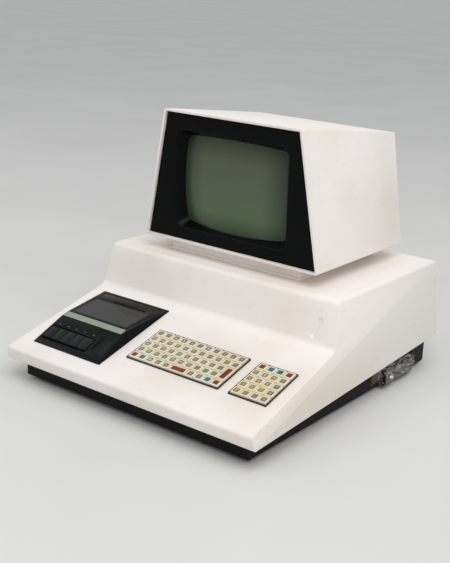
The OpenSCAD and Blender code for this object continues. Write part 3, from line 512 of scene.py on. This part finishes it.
def skin(rings, wrap):
    """Quads between outlines. The last is joined to the first, or else both ends get a cap."""
    bm = bmesh.new()
    made = [[bm.verts.new(point) for point in points] for points in rings]
    pairs = list(zip(made, made[1:]))
    if wrap:
        pairs.append((made[-1], made[0]))
    for first, second in pairs:
        for i in range(len(first)):
            bm.faces.new((first[i - 1], first[i], second[i], second[i - 1]))
    if not wrap:
        for points in (made[0], made[-1]):
            bm.faces.new(points)
    bmesh.ops.transform(bm, matrix=face, verts=bm.verts)
    return bm


print("an outline has", 4 * (arc_steps + side_steps), "points")

# %% [markdown]
# The fascia is one moulding: a flat plate whose opening rolls in and narrows to a throat that ends
# on the glass. Its section is a few outlines: plate, rolled edge, throat, and back again on the
# hidden side. The throat's last points slide along its slope until they are 0.3 mm off the dome.
# As the dome comes forward in the middle of each side, the opening's sides bow outwards there.
# %% Fascia
half_foot, foot_z, half_head, head_z = 142.7, 3.6, 109.4, 180.6
plate_front, plate_back, plate_radius = 4.0, 6.9, 0.8
mouth_width, mouth_height, mouth_radius = 189.6, 142, 15
glass_gap = 0.3 * mm


def mouth(inwards, depth):
    """Outline of the opening, so far in from its edge and so deep."""
    return screen_ring(mouth_width - 2 * inwards, mouth_height - 2 * inwards,
                       mouth_radius - inwards, depth)


def stop_at_glass(starts, ends):
    """Points on the lines from starts to ends that stay a gap short of the glass."""
    stops = []
    for start, end in zip(starts, ends):
        share = 0.5
        for _ in range(12):
            short_of = dome(start.lerp(end, share)) - glass_gap
            share = (short_of - start.y) / (end.y - start.y)
        stops.append(start.lerp(end, share))
    return stops


plate = [Vector((x * mm, z * mm)) for x, z in (
    (-half_foot, foot_z), (half_foot, foot_z), (half_head, head_z), (-half_head, head_z))]
front, rear = (ring(plate, plate_radius * mm, y * mm) for y in (plate_front, plate_back))
rolled = [mouth(0, plate_front), mouth(1.2, 4.25), mouth(2.1, 4.9), mouth(2.8, 6.0)]
throat = stop_at_glass(rolled[-1], screen_ring(167.6, 118, 7, 21))
throat_back = stop_at_glass(mouth(0.8, 6.0), screen_ring(171.6, 122, 9, 21))
section = [front] + rolled + [throat, throat_back, mouth(0.3, plate_back), rear]
show(skin(section, wrap=True), "throated_fascia", "lid", ["fascia_black"],
     ["screen_bezel"], sharp=50)

# %% [markdown]
# The tube's face is that dome, a piece of a sphere of 380 mm radius. Behind it the outlines narrow
# to the round neck. A lathe would make the neck alone, but not the change from a rectangle to a
# circle, and outlines with the same count of points do both.
# %% Picture tube
face_size = (190, 144, 22)
shares = [0.04, 0.15, 0.3, 0.45, 0.6, 0.72, 0.83, 0.92, 1.0]
rings = [screen_ring(*(size * share for size in face_size), 0) for share in shares]
for point in sum(rings, []):
    point.y = dome(point)
# Width, height, corner radius and depth of the funnel and the neck.
rings += [screen_ring(*section) for section in (
    (*face_size, 40), (168, 128, 30, 56), (120, 100, 40, 84), (66, 66, 31, 113),
    (44, 44, 21, 129), (28.6, 28.6, 13.5, 141), (28.6, 28.6, 13.5, 195), (22, 22, 10, 199))]
show(skin(rings, wrap=False), "glass_tube", "lid", ["tube_glass"],
     ["picture_tube"])

# %% [markdown]
# Keys: each is a small block whose four sides slope in, with a coloured square let into its top and
# a legend on the square. All keys of one row go down together, so each row is one piece. Copies of
# one key would be quicker, but the colours and legends differ, so a function makes each. The
# letters and figures are plain ones, as any typewriter has.
# %% Keys
pitch, gap, top_z, low_z, slope_in = 13.5 * mm, 0.6 * mm, 3.4 * mm, -0.6 * mm, 0.55 * mm
rim_radius, inlay_margin, inlay_depth = 0.5 * mm, 2.0 * mm, 0.12 * mm
stem_width, stem_length, stem_z = 4 * mm, 4.6 * mm, -2.9 * mm
legend_size, legend_thickness, legend_sunk = 4.6 * mm, 0.03 * mm, 0.11 * mm
key_finishes = ["key_cream", "inlay_grey", "inlay_red", "inlay_blue", "inlay_gold", "legend_ink"]
grey, red, blue, gold, ink = range(1, 6)


def legend_mesh(text):
    """A letter as a thin closed mesh, centred at the origin."""
    curve = bpy.data.curves.new("legend", "FONT")
    curve.body, curve.size, curve.extrude = text, legend_size, legend_thickness
    curve.align_x, curve.align_y, curve.resolution_u = "CENTER", "CENTER", 2
    holder = bpy.data.objects.new("legend", curve)
    mesh = bpy.data.meshes.new_from_object(holder)
    bpy.data.objects.remove(holder)
    bpy.data.curves.remove(curve)
    mesh.polygons.foreach_set("material_index", [ink] * len(mesh.polygons))
    return mesh


def add_key(bm, x, v, columns, rows, inlay, text):
    """One key with its lower left corner at x, v on the deck."""
    width, length = columns * pitch - gap, rows * pitch - gap
    centre = Vector((x + columns * pitch / 2, v + rows * pitch / 2, 0))
    part = bmesh.new()
    bmesh.ops.create_cube(part, size=1)
    for vert in part.verts:
        inwards = slope_in if vert.co.z > 0 else 0
        vert.co.x *= width - 2 * inwards
        vert.co.y *= length - 2 * inwards
        vert.co.z = top_z if vert.co.z > 0 else low_z
    rim = [e for e in part.edges if all(v.co.z > 0 for v in e.verts)]
    rim += [e for e in part.edges if abs(e.verts[0].co.z - e.verts[1].co.z) > mm]
    bmesh.ops.bevel(part, geom=rim, offset=rim_radius, segments=2, affect="EDGES", profile=0.5,
                    material=-1)
    top = max(part.faces, key=lambda f: f.calc_center_median().z)
    bmesh.ops.inset_individual(part, faces=[top], thickness=inlay_margin, depth=0)
    bmesh.ops.inset_individual(part, faces=[top], thickness=inlay_depth, depth=-inlay_depth)
    top.material_index = inlay
    stem = Matrix.Translation((0, 0, stem_z)) @ Matrix.Diagonal(
        (stem_width, stem_width, stem_length, 1))
    bmesh.ops.create_cube(part, size=1, matrix=stem)
    bmesh.ops.translate(part, vec=centre, verts=part.verts)
    key_mesh = bpy.data.meshes.new("key")
    part.to_mesh(key_mesh)
    part.free()
    shapes = [key_mesh]
    if text:
        legend = legend_mesh(text)
        legend.transform(Matrix.Translation(centre + Vector((0, 0, top_z - legend_sunk))))
        shapes.append(legend)
    for mesh in shapes:
        bm.from_mesh(mesh)
        bpy.data.meshes.remove(mesh)


def key_row(name, node, body, x, v, keys, columns=1, rows=1):
    """A row of keys of one size. Each key is (column, text, colour)."""
    bm = bmesh.new()
    for column, text, colour in keys:
        add_key(bm, x + column * pitch, v, columns, rows, colour, text)
    bmesh.ops.transform(bm, matrix=deck, verts=bm.verts)
    show(bm, name, body, key_finishes, [node], sharp=50, closed=False)


print("a key is", round((pitch - gap) / mm, 1), "mm square")

# %% [markdown]
# The main block has five rows that step straight up the deck, with a space key two columns wide
# and a return key two rows deep. The number pad has five rows of four. Which key has which colour
# follows the photograph, and the legends are ordinary ones.
# %% Key rows
frame_wall = 1.25
# Lower left corners of the two key fields, inside their frames.
main_x, main_v = (-36.3 + frame_wall) * mm, (55.3 + frame_wall) * mm
pad_x, pad_v = (131 + frame_wall) * mm, (54.7 + frame_wall) * mm
key_row("front_keys", "letter_row_1", "letters_1", main_x, main_v, [
    (0, "", red), (1, "", blue), (2, "@", grey), (3, "[", grey), (4, "]", grey),
    (7, "<", grey), (8, ">", grey), (9, "", blue), (10, "", red)])
letters = ["ZXCVBNM,;?", "ASDFGHJKL:", "QWERTYUIOP^", "!\"#$%'&\\()="]
for row, legends in enumerate(letters, 2):
    key_row(f"letter_keys_{row}", f"letter_row_{row}", f"letters_{row}",
            main_x, main_v + (row - 1) * pitch,
            [(column, text, grey) for column, text in enumerate(legends)])
key_row("space_bar_key", "space_key", "space_bar", main_x, main_v, [(5, "", red)], columns=2)
key_row("return_bar_key", "return_key", "return_bar", main_x, main_v + pitch, [(10, "", red)],
        rows=2)

pad_rows = [
    (("0", gold), (".", gold), ("-", grey), ("=", grey)),
    (("1", gold), ("2", gold), ("3", gold), ("+", grey)),
    (("4", gold), ("5", gold), ("6", gold), ("*", grey)),
    (("7", gold), ("8", gold), ("9", gold), ("/", grey)),
    (("", red), ("", blue), ("", blue), ("", red))]
for row, keys in enumerate(pad_rows, 1):
    key_row(f"number_keys_{row}", f"number_row_{row}", f"numbers_{row}",
            pad_x, pad_v + (row - 1) * pitch,
            [(column, text, colour) for column, (text, colour) in enumerate(keys)])

# %% [markdown]
# The cassette deck's moulding, door and piano keys are copies of the solids with eased edges: at
# this size an edge of half a millimetre is what catches the light along black plastic. The piano
# keys are a shade greyer than the moulding, a painted sheen for the grey light that their fronts
# mirror, and only the part that stands out of the deck is rounded, because nobody sees the arms
# below.
# %% Cassette deck
to_deck = deck.inverted()


def above_deck(edge):
    """True for an edge that stands more than a millimetre out of the deck."""
    return all((to_deck @ vert.co).z > mm for vert in edge.verts)


for node, name, body, width in (
        ("cassette_surround", "deck_moulding", "lid", 0.35 * mm),
        ("cassette_door", "deck_door", "cassette_lid", 0.3 * mm)):
    show(eased_copy(node, width), name, body, ["deck_black"], [node])
for word in ("record", "rewind", "forward", "play", "stop"):
    bm = eased_copy(f"{word}_key", 0.7 * mm, above_deck)
    show(bm, f"{word}_piano_key", f"{word}_button", ["painted_sheen_black"],
         [f"{word}_key"])

# %% [markdown]
# Above each piano key the moulding carries a small pale sign of what the key does: a dot, arrows
# and a square, as on any tape recorder. They are flat shapes a twentieth of a millimetre proud.
# Text would need a font that has these signs, and a few corners each are enough.
# %% Signs above the piano keys
arrow = [(0, -1), (1.6, 0), (0, 1)]
dot_radius = 1.1
signs = [
    [[(dot_radius * cos(radians(a)), dot_radius * sin(radians(a))) for a in range(0, 360, 20)]],
    [[(-x, y) for x, y in arrow], [(1.7 - x, y) for x, y in arrow]],
    [arrow, [(x - 1.7, y) for x, y in arrow]],
    [[(x * 1.2 - 0.9, y * 1.2) for x, y in arrow]],
    [[(-1, -1), (1, -1), (1, 1), (-1, 1)]]]
first_sign, sign_step = -166.4 * mm, 16 * mm
sign_foot, sign_thickness = -0.1 * mm, 0.15 * mm
shoulder = deck @ sloping((0, 65, 9.65), 11.51)
bm = bmesh.new()
for i, shapes in enumerate(signs):
    for shape in shapes:
        foot = bm.faces.new([
            bm.verts.new((first_sign + i * sign_step + x * mm, y * mm, sign_foot))
            for x, y in shape])
        raised = bmesh.ops.extrude_face_region(bm, geom=[foot])
        bmesh.ops.translate(bm, vec=(0, 0, sign_thickness), verts=[
            v for v in raised["geom"] if isinstance(v, bmesh.types.BMVert)])
bmesh.ops.transform(bm, matrix=shoulder, verts=bm.verts)
show(bm, "piano_signs", "lid", ["sign_ink"])

# %% [markdown]
# Foil: someone wrapped the expansion connector in aluminium foil and stuck a wad of paper tape
# beside it. Cloth simulation could fold a sheet round it, but a crumpled bundle hides how it was
# folded. So each starts as the plain block of the room that it takes, cut into small triangles. A
# ridged noise, drawn out along a slant, then pushes every point in, which leaves flat facets
# between creases. The side against the case stays flat.
# %% Foil and tape
wrap_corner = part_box("port_wrap")[0]
tape_end = wrap_corner.y + 18.6 * mm
flat_side = wrap_corner.x + 2.5 * mm
slant, stretch = 0.5, 1.6
creases, wrinkles = 75, 420
halvings = 6
crease_share, everywhere_share, wrinkle_share = 1.95, 0.25, 0.35


def crumple(bm, cell, deep):
    """Cuts a block into triangles of about a cell and folds them inwards."""
    for _ in range(halvings):
        bmesh.ops.triangulate(bm, faces=bm.faces)
        longest = [e for e in bm.edges if e.calc_length() > cell]
        if longest:
            bmesh.ops.subdivide_edges(bm, edges=longest, cuts=1)
    bmesh.ops.triangulate(bm, faces=bm.faces)
    bm.normal_update()
    moves = []
    for vert in bm.verts:
        at = vert.co.copy()
        at.y, at.z = (at.y + slant * at.z) / stretch, (at.z - slant * at.y) * stretch
        crease = crease_share * abs(noise.noise(at * creases))
        wrinkle = wrinkle_share * noise.noise(vert.co * wrinkles)
        share = min(1, max(0, crease + everywhere_share + wrinkle))
        moves.append(vert.normal * -deep * share)
    for vert, move in zip(bm.verts, moves):
        if vert.co.x > flat_side:
            vert.co += move


for name, finish, is_tape, cell, deep in (
        ("crumpled_foil", "foil_grey", False, 4.2 * mm, 5.5 * mm),
        ("tape_wad", "paper_tape", True, 2.4 * mm, 1.6 * mm)):
    bm = merged_copy("port_wrap")
    others = [v for v in bm.verts if (v.co.y <= tape_end) != is_tape]
    bmesh.ops.delete(bm, geom=others, context="VERTS")
    crumple(bm, cell, deep)
    show(bm, name, "base", [finish], ["port_wrap"], sharp=8)
